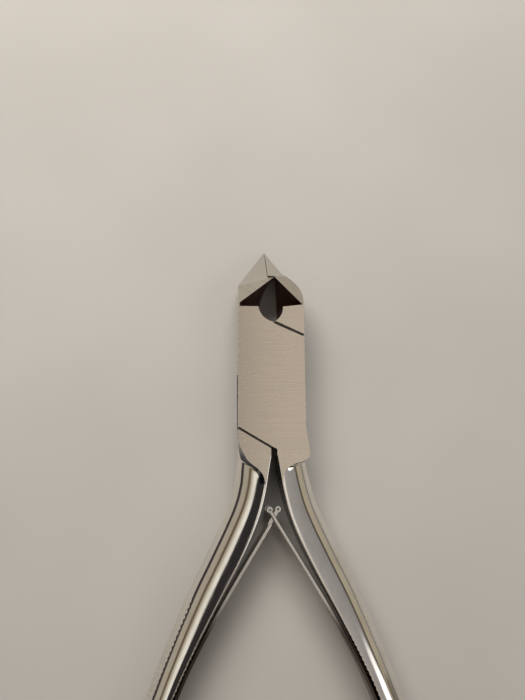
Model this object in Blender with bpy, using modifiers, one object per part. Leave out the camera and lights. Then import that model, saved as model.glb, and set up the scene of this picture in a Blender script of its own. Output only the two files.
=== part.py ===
"""Cuticle nipper with a box joint, D-shaped handles and a crossed pair of leaf springs.

Own frame: the pin's axis is Z, the back of the box joint lies at z = 0, +Y points from the
pin to the tip of the jaws and +Z out of the front face. Everything is in metres.
"""

import math

import bmesh
import bpy
from mathutils import Matrix, Vector

MM = 0.001

# Overall sizes
THICKNESS = 6.0 * MM            # of the box joint, the jaws' roots and the handles
BLOCK_LEFT = 5.1 * MM           # pin axis to the left side of the box
BLOCK_RIGHT = 4.5 * MM          # pin axis to the right side of the box
BLOCK_ABOVE = 10.8 * MM         # pin axis to where the jaws' hollow begins
BLOCK_BELOW = 10.6 * MM         # pin axis to where the handles begin
HANDLE_LENGTH = 73.5 * MM       # along Y, below the box
HANDLE_SPREAD = 20.4 * MM       # widest place of a handle's inner side, from the middle

# Head, measured from the box's upper edge: each jaw is ground to two facets
TIP_REACH = 9.8 * MM
TIP_LEAN = 0.9 * MM             # the tip lies this far left of the middle
TIP_THICK = 0.8 * MM            # thickness left at the tip
HEEL_REACH = 4.6 * MM           # heel of the cutting edge, at the front
HEEL_X = 0.2 * MM               # the heel lies this far right of the middle
HEEL_DROP = 0.1 * MM            # heel below the front face
HEEL_STEP = 1.0 * MM            # sideways step of the parting line at the heel
HEEL_STEP_DROP = 0.5 * MM       # height lost across that step
SHOULDER_REACH = 3.4 * MM       # where the left side turns towards the tip
SHOULDER_DROP = 1.4 * MM        # height lost across the band beside the arch
CROWN_X = 1.4 * MM              # where the right jaw's outline begins to bend
CROWN_REACH = 5.3 * MM
CHEEK_INSET = 1.2 * MM          # middle of the right jaw's bend, from the right side
CHEEK_REACH = 3.8 * MM
CHEEK_START = 1.5 * MM          # where the right side begins to bend
ARCH_RISE_LEFT = 0.55 * MM      # outer ends of the hollow above the box's edge
ARCH_RISE_RIGHT = 0.35 * MM
ARCH_INSET = 0.2 * MM           # material left outside the hollow's ends
EYE_DEPTH = 2.3 * MM            # lower point of the eye below the box's upper edge
EYE_LEFT = 2.2 * MM             # half widths of the eye at the box's edge
EYE_RIGHT = 1.4 * MM
EYE_BULGE = 0.16                # how far the eye's lower sides bow out, as a share of their length
EYE_BACK = 0.75                 # share of its width that the eye keeps at the back
HOLLOW_BACK_REACH = 3.6 * MM    # shoulders of the hollow at the back
HOLLOW_TIP_INSET = 0.7 * MM     # material left at the tip beyond the hollow, at the back
JAW_GAP = 0.08 * MM             # between the closed cutting edges
HEEL_CLEAR = 0.12 * MM          # the left jaw stops this far short of the heel

# Box joint
PARTING_GAP = 0.28 * MM         # between the plates' edges and the other half
UPPER_PARTING_SIDE = 6.55 * MM  # height of the upper parting line at the right side
LOWER_PARTING_SIDE = 6.75 * MM  # depth of the lower parting line at the left side
LOWER_PARTING_RISE = 0.85 * MM  # its middle above the handles' beginning
CORNER_ROUND = 0.6 * MM         # of the outer half's corner between the handles
WEB_THICK = 2.4 * MM            # the inner half's web, in the middle of the thickness
BOX_WALL = 0.65 * MM            # left beside the web's round part, on the right
WEB_CLEARANCE = 0.15 * MM       # web to slot, all round
WEB_SHOULDER = 2.2 * MM         # where the web leaves the box's side, above the pin's level
WEB_OVERLAP = 0.5 * MM          # of the web inside the jaw and the handle's root
WEB_RIGHT_ARC = (20.0, -75.0)   # degrees about the pin
WEB_LEFT_ARC = (200.0, 112.0)
SLOT_RIGHT_ARC = (-17.0, -75.0)
SLOT_LEFT_ARC = (163.0, 112.0)
PIN_RADIUS = 1.5 * MM
PIN_COVER = 1.0 * MM            # of the front plate, left over the blind end of the pin
PIN_FIT = 0.03 * MM             # radial, in the plates
PIN_RUNNING_FIT = 0.06 * MM     # radial, in the web

# Handles: widths from the inner flat to the round back
HANDLE_NECK = 4.3 * MM
HANDLE_BELLY = 4.4 * MM
HANDLE_WAIST = 4.2 * MM
HANDLE_GRIP = 3.35 * MM
HANDLE_END = 2.6 * MM
END_CAP_LENGTH = 1.2 * MM       # rounded end of a handle
END_CAP_ROUND = 0.93            # how far the rounding closes, as a share of the width
END_CAP_HEIGHT = 0.6            # how far it closes in height
HANDLE_FLAT = 0.3 * MM          # flat strip left along the inner edges
HANDLE_FLARE = 0.55 * MM        # the right handle's root stands out from the box's side
FLARE_LENGTH = 3.8 * MM
ROOT_OVERLAP = 0.5 * MM         # of a handle's loft inside the box
ROOT_SETBACK = 0.01 * MM        # of that loft behind the box's side
DOME_FORMED = 0.075             # share of the length where the full D section is reached
TURN_FORMED = 0.05              # share of the length where sections stand square to the handle

# Springs
SPRING_THICK = 0.7 * MM
SPRING_WIDTH = 4.2 * MM
SPRING_CROSSING = 8.6 * MM      # below the box: where the springs cross
SPRING_PAST = 1.25 * MM         # of each end past the crossing
SPRING_BOW = math.radians(1.6)  # at the crossing, past the straight line to the seat
SPRING_SEAT = 32.0 * MM         # below the box: where a spring leaves its handle
SCREW_PLACE = 36.5 * MM         # below the box: the screw
SPRING_TAIL = 38.8 * MM         # below the box: the tail of a spring
SPRING_SEAT_GAP = 0.2 * MM      # spring to handle, and spring to screw head
TONGUE_WIDTH = 1.5 * MM
TONGUE_SHOULDER = 0.95 * MM     # below the crossing: where the tongue's leaf gets its full width
FORK_CLEARANCE = 0.25 * MM      # tongue to each prong
FORK_ROOT = 3.2 * MM            # below the crossing: the bottom of the fork's slot

# Spring screws
SCREW_RADIUS = 0.7 * MM
SCREW_DEPTH = 2.0 * MM          # into the handle
SCREW_HEAD_RADIUS = 1.35 * MM
SCREW_HEAD_HEIGHT = 0.75 * MM
SCREW_HEAD_EDGE = 0.2 * MM
SCREW_SLOT = 0.35 * MM
SCREW_FIT = 0.05 * MM           # radial, in the handle
SCREW_HOLE_FIT = 0.2 * MM       # radial, in the spring

# Share of the length below the box, and share of the spread, along a handle's inner side
HANDLE_CURVE = (
    (0.000, 0.020),
    (0.028, 0.038),
    (0.065, 0.060),
    (0.111, 0.103),
    (0.156, 0.168),
    (0.210, 0.265),
    (0.263, 0.370),
    (0.316, 0.472),
    (0.369, 0.568),
    (0.422, 0.657),
    (0.550, 0.840),
    (0.680, 0.960),
    (0.800, 1.000),
    (0.900, 0.975),
    (1.000, 0.890),
)

# Facets of the curved shapes
HANDLE_STATIONS = 40
STATION_CROWDING = 1.15         # above 1, sections stand closer near the box
ROOT_STEPS = 4
END_CAP_STEPS = (0.5, 0.85, 1.0)
DOME_STEPS = 9
ARC_STEPS = 8
SPRING_STEPS = 16
SEAT_STEPS = 4
BEND_STEPS = 4
TURNED_STEPS = 32
PAST = 1.0 * MM                 # how far a cutter runs past what it cuts

MIDDLE_Z = THICKNESS / 2
WEB_RADIUS = BLOCK_RIGHT - BOX_WALL - WEB_CLEARANCE
HANDLE_START = HANDLE_CURVE[0][1] * HANDLE_SPREAD
LOWER_PARTING_MID = BLOCK_BELOW - LOWER_PARTING_RISE
EYE_BOTTOM = BLOCK_ABOVE - EYE_DEPTH

TIP = Vector((-TIP_LEAN, BLOCK_ABOVE + TIP_REACH, TIP_THICK))
HEEL = Vector((HEEL_X, BLOCK_ABOVE + HEEL_REACH, THICKNESS - HEEL_DROP))
HEEL_SIDE = HEEL - Vector((HEEL_STEP, 0.0, HEEL_STEP_DROP))
SHOULDER = Vector((-BLOCK_LEFT, BLOCK_ABOVE + SHOULDER_REACH, THICKNESS - SHOULDER_DROP))
CROWN = Vector((CROWN_X, BLOCK_ABOVE + CROWN_REACH, THICKNESS - SHOULDER_DROP))
CHEEK = Vector((BLOCK_RIGHT - CHEEK_INSET, BLOCK_ABOVE + CHEEK_REACH, THICKNESS - SHOULDER_DROP))
ARCH_LEFT = Vector((ARCH_INSET - BLOCK_LEFT, BLOCK_ABOVE + ARCH_RISE_LEFT, THICKNESS))
ARCH_RIGHT = Vector((BLOCK_RIGHT - ARCH_INSET, BLOCK_ABOVE + ARCH_RISE_RIGHT, THICKNESS))


def clear_scene():
    for obj in list(bpy.data.objects):
        bpy.data.objects.remove(obj, do_unlink=True)


def new_collection(name):
    collection = bpy.data.collections.new(name)
    bpy.context.scene.collection.children.link(collection)
    return collection


def steel(name, colour, roughness):
    material = bpy.data.materials.new(name)
    material.use_nodes = True
    shader = material.node_tree.nodes["Principled BSDF"]
    shader.inputs["Base Color"].default_value = (*colour, 1.0)
    shader.inputs["Roughness"].default_value = roughness
    shader.inputs["Metallic"].default_value = 1.0
    return material


def mesh_object(name, bm, collection):
    bmesh.ops.recalc_face_normals(bm, faces=bm.faces)
    mesh = bpy.data.meshes.new(name)
    bm.to_mesh(mesh)
    bm.free()
    obj = bpy.data.objects.new(name, mesh)
    collection.objects.link(obj)
    return obj


def flat_solid(name, outline, low, high, collection):
    """A flat outline as a filled 2D curve, extruded between two heights and made a mesh."""
    curve = bpy.data.curves.new(name, "CURVE")
    curve.dimensions = "2D"
    curve.fill_mode = "BOTH"
    curve.extrude = (high - low) / 2
    spline = curve.splines.new("POLY")
    spline.points.add(len(outline) - 1)
    for point, place in zip(spline.points, outline):
        point.co = (place[0], place[1], 0.0, 1.0)
    spline.use_cyclic_u = True
    source = bpy.data.objects.new(name + "_outline", curve)
    collection.objects.link(source)
    source.location.z = (low + high) / 2
    bpy.context.view_layer.update()
    graph = bpy.context.evaluated_depsgraph_get()
    mesh = bpy.data.meshes.new_from_object(source.evaluated_get(graph))
    mesh.transform(source.matrix_world)
    bpy.data.objects.remove(source)
    bm = bmesh.new()
    bm.from_mesh(mesh)
    bpy.data.meshes.remove(mesh)
    bmesh.ops.remove_doubles(bm, verts=bm.verts, dist=1e-6)
    return mesh_object(name, bm, collection)


def loft(name, sections, collection):
    """A closed solid through sections that each have the same number of points."""
    bm = bmesh.new()
    rings = [[bm.verts.new(point) for point in section] for section in sections]
    for ring, following in zip(rings, rings[1:]):
        for index in range(len(ring)):
            step = (index + 1) % len(ring)
            bm.faces.new((ring[index], ring[step], following[step], following[index]))
    bm.faces.new(rings[0])
    bm.faces.new(rings[-1])
    bmesh.ops.triangulate(bm, faces=bm.faces)
    return mesh_object(name, bm, collection)


def cylinder(name, radius, low, high, collection):
    bm = bmesh.new()
    bmesh.ops.create_cone(
        bm,
        cap_ends=True,
        segments=TURNED_STEPS,
        radius1=radius,
        radius2=radius,
        depth=high - low,
        matrix=Matrix.Translation((0.0, 0.0, (low + high) / 2)),
    )
    return mesh_object(name, bm, collection)


def box(name, low, high, collection):
    low = Vector(low)
    high = Vector(high)
    bm = bmesh.new()
    place = Matrix.Translation((low + high) / 2) @ Matrix.Diagonal((*(high - low), 1.0))
    bmesh.ops.create_cube(bm, size=1.0, matrix=place)
    return mesh_object(name, bm, collection)


def slab_above(name, corners, collection, size=60 * MM):
    """A large cube whose underside lies in the plane through three points."""
    first, second, third = corners
    normal = (second - first).cross(third - first).normalized()
    if normal.z < 0:
        normal.negate()
    turn = normal.to_track_quat("Z", "Y").to_matrix().to_4x4()
    centre = (first + second + third) / 3 + normal * (size / 2)
    bm = bmesh.new()
    bmesh.ops.create_cube(bm, size=size, matrix=Matrix.Translation(centre) @ turn)
    return mesh_object(name, bm, collection)


def combine(obj, other, operation):
    modifier = obj.modifiers.new(other.name, "BOOLEAN")
    modifier.object = other
    modifier.operation = operation
    modifier.solver = "EXACT"
    other.hide_render = True
    other.display_type = "WIRE"


def bend(start, corner, end):
    """Points of a curve from start to end that leaves towards the corner and arrives from it."""
    shares = [step / BEND_STEPS for step in range(BEND_STEPS + 1)]
    return [start.lerp(corner, t).lerp(corner.lerp(end, t), t) for t in shares]


def arc(radius, angles):
    """Points of an arc about the pin, from the first angle in degrees to the second."""
    start, end = angles
    angles = [math.radians(start + (end - start) * i / ARC_STEPS) for i in range(ARC_STEPS + 1)]
    return [(radius * math.cos(angle), radius * math.sin(angle)) for angle in angles]


def smooth_value(pairs, share):
    """A smooth value at a share of the way along (place, value) pairs."""
    index = 0
    while index < len(pairs) - 2 and pairs[index + 1][0] < share:
        index += 1
    place, value = pairs[index]
    next_place, next_value = pairs[index + 1]
    before = pairs[max(index - 1, 0)]
    after = pairs[min(index + 2, len(pairs) - 1)]
    span = next_place - place
    slope = (next_value - before[1]) / (next_place - before[0])
    next_slope = (after[1] - value) / (after[0] - place)
    t = (share - place) / span
    return (
        (2 * t**3 - 3 * t**2 + 1) * value
        + (t**3 - 2 * t**2 + t) * span * slope
        + (3 * t**2 - 2 * t**3) * next_value
        + (t**3 - t**2) * span * next_slope
    )


def smooth_step(value, start, end):
    t = min(max((value - start) / (end - start), 0.0), 1.0)
    return t * t * (3 - 2 * t)


def inner_side(below):
    """The right handle's inner side, at a distance below the box."""
    share = below / HANDLE_LENGTH
    return Vector((smooth_value(HANDLE_CURVE, share) * HANDLE_SPREAD, -BLOCK_BELOW - below))


def towards_end(below):
    """Direction of the inner side, towards the handle's end."""
    step = 0.3 * MM
    high = max(below - step, 0.0)
    low = min(below + step, HANDLE_LENGTH)
    return (inner_side(low) - inner_side(high)).normalized()


def outward(below):
    """The right handle's direction from its inner side to its back."""
    along = towards_end(below)
    return Vector((-along.y, along.x))


def mirrored(points):
    return [(-point[0], *point[1:]) for point in points]


def d_section(start, out, flat, width):
    """A flat inner side, flat strips above and below, and a round back."""
    points = [(0.0, 0.0), (0.0, THICKNESS)]
    for step in range(DOME_STEPS + 1):
        angle = math.pi / 2 - math.pi * step / DOME_STEPS
        reach = flat + (width - flat) * math.cos(angle)
        points.append((reach, MIDDLE_Z + MIDDLE_Z * math.sin(angle)))
    return [(start.x + out.x * reach, start.y + out.y * reach, z) for reach, z in points]


def handle_sections(face_side, back_side):
    """Sections down the right handle. The sides are the box's own, at its face and at mid height."""
    widths = (
        (0.00, back_side - HANDLE_START),
        (0.07, HANDLE_NECK),
        (0.17, HANDLE_BELLY),
        (0.27, HANDLE_WAIST),
        (0.45, HANDLE_GRIP),
        (0.90, HANDLE_GRIP),
        (1.00, HANDLE_END),
    )
    sections = []
    for station in range(HANDLE_STATIONS + 1):
        share = (station / HANDLE_STATIONS) ** STATION_CROWDING
        below = share * HANDLE_LENGTH
        width = smooth_value(widths, share)
        full = min(face_side - HANDLE_START, width)
        flat = full + (HANDLE_FLAT - full) * smooth_step(share, 0.0, DOME_FORMED)
        out = Vector((1.0, 0.0)).lerp(outward(below), smooth_step(share, 0.0, TURN_FORMED))
        sections.append(d_section(inner_side(below), out, flat, width))
    end = inner_side(HANDLE_LENGTH)
    along = towards_end(HANDLE_LENGTH)
    out = outward(HANDLE_LENGTH)
    for step in END_CAP_STEPS:
        shrink = math.sqrt(1.0 - (END_CAP_ROUND * step) ** 2)
        width = HANDLE_END * shrink
        start = end + along * (END_CAP_LENGTH * step) + out * ((HANDLE_END - width) / 2)
        section = d_section(start, out, min(HANDLE_FLAT, width / 2), width)
        height = 1.0 - END_CAP_HEIGHT * (1.0 - shrink)
        sections.append([(x, y, MIDDLE_Z + (z - MIDDLE_Z) * height) for x, y, z in section])
    return sections


def root_sections(face_side, back_side, length):
    """The handle's root inside the box, whose round back dies away into the box's side."""
    sections = []
    for step in range(ROOT_STEPS):
        rise = length * (1.0 - step / ROOT_STEPS)
        flare = (back_side - face_side) * smooth_step(1.0 - rise / length, 0.0, 1.0)
        start = Vector((HANDLE_START, rise - BLOCK_BELOW))
        flat = face_side - HANDLE_START - ROOT_SETBACK
        width = flat + flare + ROOT_SETBACK / 2
        sections.append(d_section(start, Vector((1.0, 0.0)), flat, width))
    return sections


def handle(name, face_side, back_side, root_length, mirror, collection):
    sections = root_sections(face_side, back_side, root_length)
    sections += handle_sections(face_side, back_side)
    if mirror:
        sections = [mirrored(section) for section in sections]
    return loft(name, sections, collection)


def bowed(start, end, bulge):
    """Points of a shallow arc from one point to another, bowed to the right of its way."""
    side = Vector((end.y - start.y, start.x - end.x)) * bulge
    return bend(start, (start + end) / 2 + side * 2, end)


def hollow(collection):
    """The space between the jaws: an arch at the front that narrows to an eye at the back."""
    bottom = Vector((0.0, EYE_BOTTOM))
    front = bowed(bottom, Vector((EYE_RIGHT, BLOCK_ABOVE)), EYE_BULGE)
    front += [ARCH_RIGHT.xy, Vector((HEEL.x, HEEL.y - HEEL_DROP)), ARCH_LEFT.xy]
    front += [Vector((ARCH_LEFT.x, BLOCK_ABOVE))]
    front += bowed(Vector((-EYE_LEFT, BLOCK_ABOVE)), bottom, EYE_BULGE)[:-1]
    right = EYE_RIGHT * EYE_BACK
    left = -EYE_LEFT * EYE_BACK
    shoulder = BLOCK_ABOVE + HOLLOW_BACK_REACH
    back = bowed(bottom, Vector((right, BLOCK_ABOVE)), EYE_BULGE)
    back += [Vector((right, shoulder)), Vector((TIP.x, TIP.y - HOLLOW_TIP_INSET))]
    back += [Vector((left, shoulder)), Vector((left, ARCH_LEFT.y))]
    back += bowed(Vector((left, BLOCK_ABOVE)), bottom, EYE_BULGE)[:-1]
    sections = []
    for z in (-PAST, 0.0, THICKNESS, THICKNESS + PAST):
        ring = [far.lerp(near, z / THICKNESS) for near, far in zip(front, back)]
        sections.append([(point.x, point.y, z) for point in ring])
    return loft("hollow", sections, collection)


def left_jaw_outline():
    """From the heel, round the tip to the left shoulder."""
    half = JAW_GAP / 2
    return [
        (HEEL.x - HEEL_CLEAR, HEEL.y - half),
        (HEEL_SIDE.x - half, HEEL_SIDE.y - half),
        (TIP.x - half, TIP.y),
        SHOULDER.xy,
    ]


def right_jaw_outline():
    """From the right side, up the bent cheek and round the tip to the heel."""
    half = JAW_GAP / 2
    start = Vector((BLOCK_RIGHT, BLOCK_ABOVE + CHEEK_START))
    corner = Vector((BLOCK_RIGHT, CHEEK.y))
    return bend(start, corner, CROWN.xy) + [
        (TIP.x + half, TIP.y),
        (HEEL_SIDE.x + half, HEEL_SIDE.y + half),
        (HEEL.x + half, HEEL.y + half),
    ]


def outer_outline():
    """The left jaw and the plates of the box."""
    half = PARTING_GAP / 2
    level = half - LOWER_PARTING_MID
    corner = Vector((HANDLE_START, level))
    rounded = bend(Vector((0.0, level)), corner, corner - Vector((0.0, CORNER_ROUND)))
    return left_jaw_outline() + [(-BLOCK_LEFT, half - LOWER_PARTING_SIDE)] + rounded + [
        (HANDLE_START, -BLOCK_BELOW),
        (BLOCK_RIGHT, -BLOCK_BELOW),
        (BLOCK_RIGHT, UPPER_PARTING_SIDE - half),
        (0.0, EYE_BOTTOM - half),
    ]


def right_jaw_full_outline():
    half = PARTING_GAP / 2
    return right_jaw_outline() + [
        (HEEL.x, EYE_BOTTOM + half),
        (BLOCK_RIGHT, UPPER_PARTING_SIDE + half),
    ]


def left_root_outline():
    """The part of the inner half between the lower parting line and the left handle."""
    half = PARTING_GAP / 2
    return [
        (-BLOCK_LEFT, -LOWER_PARTING_SIDE - half),
        (-PARTING_GAP, -LOWER_PARTING_MID - half),
        (-HANDLE_START, -BLOCK_BELOW),
        (-BLOCK_LEFT, -BLOCK_BELOW),
    ]


def web_outline():
    """The inner half's thin middle, which turns inside the box."""
    return (
        [(CROWN_X, EYE_BOTTOM + 2 * WEB_OVERLAP), (BLOCK_RIGHT, UPPER_PARTING_SIDE + WEB_OVERLAP),
         (BLOCK_RIGHT, WEB_SHOULDER)]
        + arc(WEB_RADIUS, WEB_RIGHT_ARC)
        + [(-PARTING_GAP, -LOWER_PARTING_MID), (-HANDLE_START, -BLOCK_BELOW),
           (-BLOCK_LEFT, -LOWER_PARTING_SIDE - WEB_OVERLAP), (-BLOCK_LEFT, -WEB_SHOULDER)]
        + arc(WEB_RADIUS, WEB_LEFT_ARC)
        + [(WEB_CLEARANCE, EYE_BOTTOM + WEB_CLEARANCE)]
    )


def slot_outline():
    """Room for the web, open at the sides where the web swings out."""
    radius = WEB_RADIUS + WEB_CLEARANCE
    right = BLOCK_RIGHT + HANDLE_FLARE + PAST
    left = -BLOCK_LEFT - PAST
    return (
        [(0.0, EYE_BOTTOM + WEB_OVERLAP), (right, EYE_BOTTOM + WEB_OVERLAP),
         (right, -WEB_SHOULDER / 2)]
        + arc(radius, SLOT_RIGHT_ARC)
        + [(WEB_CLEARANCE, -LOWER_PARTING_MID), (WEB_CLEARANCE, -BLOCK_BELOW - PAST),
           (left, -BLOCK_BELOW - PAST), (left, WEB_SHOULDER / 2)]
        + arc(radius, SLOT_LEFT_ARC)
        + [(0.0, EYE_BOTTOM)]
    )


def screw_place(side):
    """Where a screw's axis passes the middle of its spring, and the direction out to the handle."""
    out = outward(SCREW_PLACE)
    seat = inner_side(SCREW_PLACE) - out * (SPRING_SEAT_GAP + SPRING_THICK / 2)
    return Vector((side * seat.x, seat.y, MIDDLE_Z)), Vector((side * out.x, out.y, 0.0))


def along_screw(side):
    place, out = screw_place(side)
    return Matrix.Translation(place) @ (-out).to_track_quat("Z", "Y").to_matrix().to_4x4()


def screw_hole(name, side, radius, low, high, collection):
    """A cutter round a screw's axis. Heights are from the middle of the spring, away from the handle."""
    hole = cylinder(name, radius, low, high, collection)
    hole.data.transform(along_screw(side))
    return hole


def hole_foot():
    """Bottom of a screw's hole in the handle, below the middle of the spring."""
    return -(SPRING_THICK / 2 + SPRING_SEAT_GAP + SCREW_DEPTH + SCREW_FIT)


def spring_line():
    """The right spring's middle line, from its tail along its handle and across to its tip."""
    offset = SPRING_SEAT_GAP + SPRING_THICK / 2
    points = []
    for step in range(SEAT_STEPS + 1):
        below = SPRING_TAIL + (SPRING_SEAT - SPRING_TAIL) * step / SEAT_STEPS
        points.append(inner_side(below) - outward(below) * offset)
    start = points[-1]
    crossing = Vector((0.0, -BLOCK_BELOW - SPRING_CROSSING))
    angle = math.atan2(start.x, crossing.y - start.y) + SPRING_BOW
    heading = Vector((-math.sin(angle), math.cos(angle)))
    tip = crossing + heading * SPRING_PAST
    reach = (tip - start).length
    first = -towards_end(SPRING_SEAT) * reach
    last = heading * reach
    for step in range(1, SPRING_STEPS + 1):
        t = step / SPRING_STEPS
        points.append(
            start * (2 * t**3 - 3 * t**2 + 1)
            + first * (t**3 - 2 * t**2 + t)
            + tip * (3 * t**2 - 2 * t**3)
            + last * (t**3 - t**2)
        )
    return points


def spring(name, side, collection, cutters):
    line = spring_line()
    near = []
    far = []
    for index, point in enumerate(line):
        along = line[min(index + 1, len(line) - 1)] - line[max(index - 1, 0)]
        across = Vector((-along.y, along.x)).normalized() * (SPRING_THICK / 2)
        near.append(point + across)
        far.append(point - across)
    outline = near + far[::-1]
    if side < 0:
        outline = mirrored(outline)
    leaf = flat_solid(name, outline, MIDDLE_Z - SPRING_WIDTH / 2, MIDDLE_Z + SPRING_WIDTH / 2,
                      collection)
    radius = SCREW_RADIUS + SCREW_HOLE_FIT
    hole = screw_hole(name + "_hole", side, radius, -PAST, PAST, cutters)
    combine(leaf, hole, "DIFFERENCE")
    return leaf


def cut_fork(leaf, cutters):
    half = TONGUE_WIDTH / 2 + FORK_CLEARANCE
    crossing = -BLOCK_BELOW - SPRING_CROSSING
    slot = box("fork_slot", (-HANDLE_SPREAD, crossing - FORK_ROOT, MIDDLE_Z - half),
               (HANDLE_SPREAD, -BLOCK_BELOW, MIDDLE_Z + half), cutters)
    combine(leaf, slot, "DIFFERENCE")


def cut_tongue(leaf, cutters):
    low = -BLOCK_BELOW - SPRING_CROSSING - TONGUE_SHOULDER
    for name, near, far in (("above", TONGUE_WIDTH / 2, SPRING_WIDTH),
                            ("below", -SPRING_WIDTH, -TONGUE_WIDTH / 2)):
        side = box("tongue_" + name, (-HANDLE_SPREAD, low, MIDDLE_Z + near),
                   (HANDLE_SPREAD, -BLOCK_BELOW, MIDDLE_Z + far), cutters)
        combine(leaf, side, "DIFFERENCE")


def set_origin(obj, point):
    """Moves an object's origin without moving its shape."""
    obj.data.transform(Matrix.Translation(-Vector(point)))
    obj.location = point


def screw(name, side, collection, cutters):
    """A turned screw: its head lies against the spring and its shank is in the handle."""
    base = SPRING_THICK / 2 + SPRING_SEAT_GAP
    top = base + SCREW_HEAD_HEIGHT
    foot = -base - SCREW_DEPTH
    profile = (
        (0.0, top),
        (SCREW_HEAD_RADIUS - SCREW_HEAD_EDGE, top),
        (SCREW_HEAD_RADIUS, top - SCREW_HEAD_EDGE),
        (SCREW_HEAD_RADIUS, base),
        (SCREW_RADIUS, base),
        (SCREW_RADIUS, foot),
        (0.0, foot),
    )
    mesh = bpy.data.meshes.new(name)
    edges = [(index, index + 1) for index in range(len(profile) - 1)]
    mesh.from_pydata([(x, 0.0, z) for x, z in profile], edges, [])
    obj = bpy.data.objects.new(name, mesh)
    collection.objects.link(obj)
    turn = obj.modifiers.new("turn", "SCREW")
    turn.steps = TURNED_STEPS
    turn.render_steps = TURNED_STEPS
    turn.use_merge_vertices = True
    turn.merge_threshold = 0.00001
    turn.use_normal_calculate = True
    obj.matrix_world = along_screw(side)
    slot = box(name + "_slot", (-SCREW_SLOT / 2, -PAST * 2, top - SCREW_SLOT),
               (SCREW_SLOT / 2, PAST * 2, top + PAST), cutters)
    slot.data.transform(along_screw(side))
    combine(obj, slot, "DIFFERENCE")
    return obj


def outer_half(collection, cutters):
    half = flat_solid("outer_half", outer_outline(), 0.0, THICKNESS, collection)
    right = handle("right_handle", BLOCK_RIGHT, BLOCK_RIGHT + HANDLE_FLARE, FLARE_LENGTH, False,
                   cutters)
    combine(half, right, "UNION")
    combine(half, slab_above("left_facet", (TIP, HEEL_SIDE, SHOULDER), cutters), "DIFFERENCE")
    combine(half, slab_above("left_band", (HEEL, ARCH_LEFT, SHOULDER), cutters), "DIFFERENCE")
    combine(half, hollow(cutters), "DIFFERENCE")
    room = WEB_THICK / 2 + WEB_CLEARANCE
    slot = flat_solid("web_slot", slot_outline(), MIDDLE_Z - room, MIDDLE_Z + room, cutters)
    combine(half, slot, "DIFFERENCE")
    bore = cylinder("plate_bore", PIN_RADIUS + PIN_FIT, -PAST, THICKNESS - PIN_COVER, cutters)
    combine(half, bore, "DIFFERENCE")
    radius = SCREW_RADIUS + SCREW_FIT
    hole = screw_hole("right_screw_hole", 1.0, radius, hole_foot(), 0.0, cutters)
    combine(half, hole, "DIFFERENCE")
    return half


def inner_half(collection, cutters):
    half = flat_solid("inner_half", right_jaw_full_outline(), 0.0, THICKNESS, collection)
    combine(half, slab_above("right_facet", (TIP, HEEL, CROWN), cutters), "DIFFERENCE")
    combine(half, slab_above("right_band", (HEEL, ARCH_RIGHT, CHEEK), cutters), "DIFFERENCE")
    combine(half, bpy.data.objects["hollow"], "DIFFERENCE")
    root = flat_solid("left_root", left_root_outline(), 0.0, THICKNESS, cutters)
    left = handle("left_handle", BLOCK_LEFT, BLOCK_LEFT, ROOT_OVERLAP, True, cutters)
    web = flat_solid("web", web_outline(), MIDDLE_Z - WEB_THICK / 2, MIDDLE_Z + WEB_THICK / 2,
                     cutters)
    for piece in (web, root, left):
        combine(half, piece, "UNION")
    radius = PIN_RADIUS + PIN_RUNNING_FIT
    bore = cylinder("web_bore", radius, 0.0, THICKNESS, cutters)
    combine(half, bore, "DIFFERENCE")
    radius = SCREW_RADIUS + SCREW_FIT
    hole = screw_hole("left_screw_hole", -1.0, radius, hole_foot(), 0.0, cutters)
    combine(half, hole, "DIFFERENCE")
    return half


def main():
    clear_scene()
    parts = new_collection("cuticle_nipper")
    cutters = new_collection("cutters")
    satin = steel("satin_steel", (0.62, 0.59, 0.55), 0.35)
    bright = steel("bright_steel", (0.70, 0.68, 0.65), 0.15)
    spring_steel = steel("spring_steel", (0.58, 0.55, 0.52), 0.3)

    outer = outer_half(parts, cutters)
    inner = inner_half(parts, cutters)
    pin = cylinder("pivot_pin", PIN_RADIUS, 0.0, THICKNESS - PIN_COVER - PIN_FIT, parts)
    fork = spring("fork_spring", 1.0, parts, cutters)
    cut_fork(fork, cutters)
    set_origin(fork, screw_place(1.0)[0])
    tongue = spring("tongue_spring", -1.0, parts, cutters)
    cut_tongue(tongue, cutters)
    set_origin(tongue, screw_place(-1.0)[0])
    fork_screw = screw("fork_spring_screw", 1.0, parts, cutters)
    tongue_screw = screw("tongue_spring_screw", -1.0, parts, cutters)

    for obj, material in ((outer, satin), (inner, satin), (pin, bright), (fork, spring_steel),
                          (tongue, spring_steel), (fork_screw, bright), (tongue_screw, bright)):
        obj.data.materials.append(material)
        obj.data.shade_smooth()
        obj.data.set_sharp_from_angle(angle=math.radians(30.0))


main()
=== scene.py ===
import math

import bmesh
import bpy
from mathutils import Matrix, Vector


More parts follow.
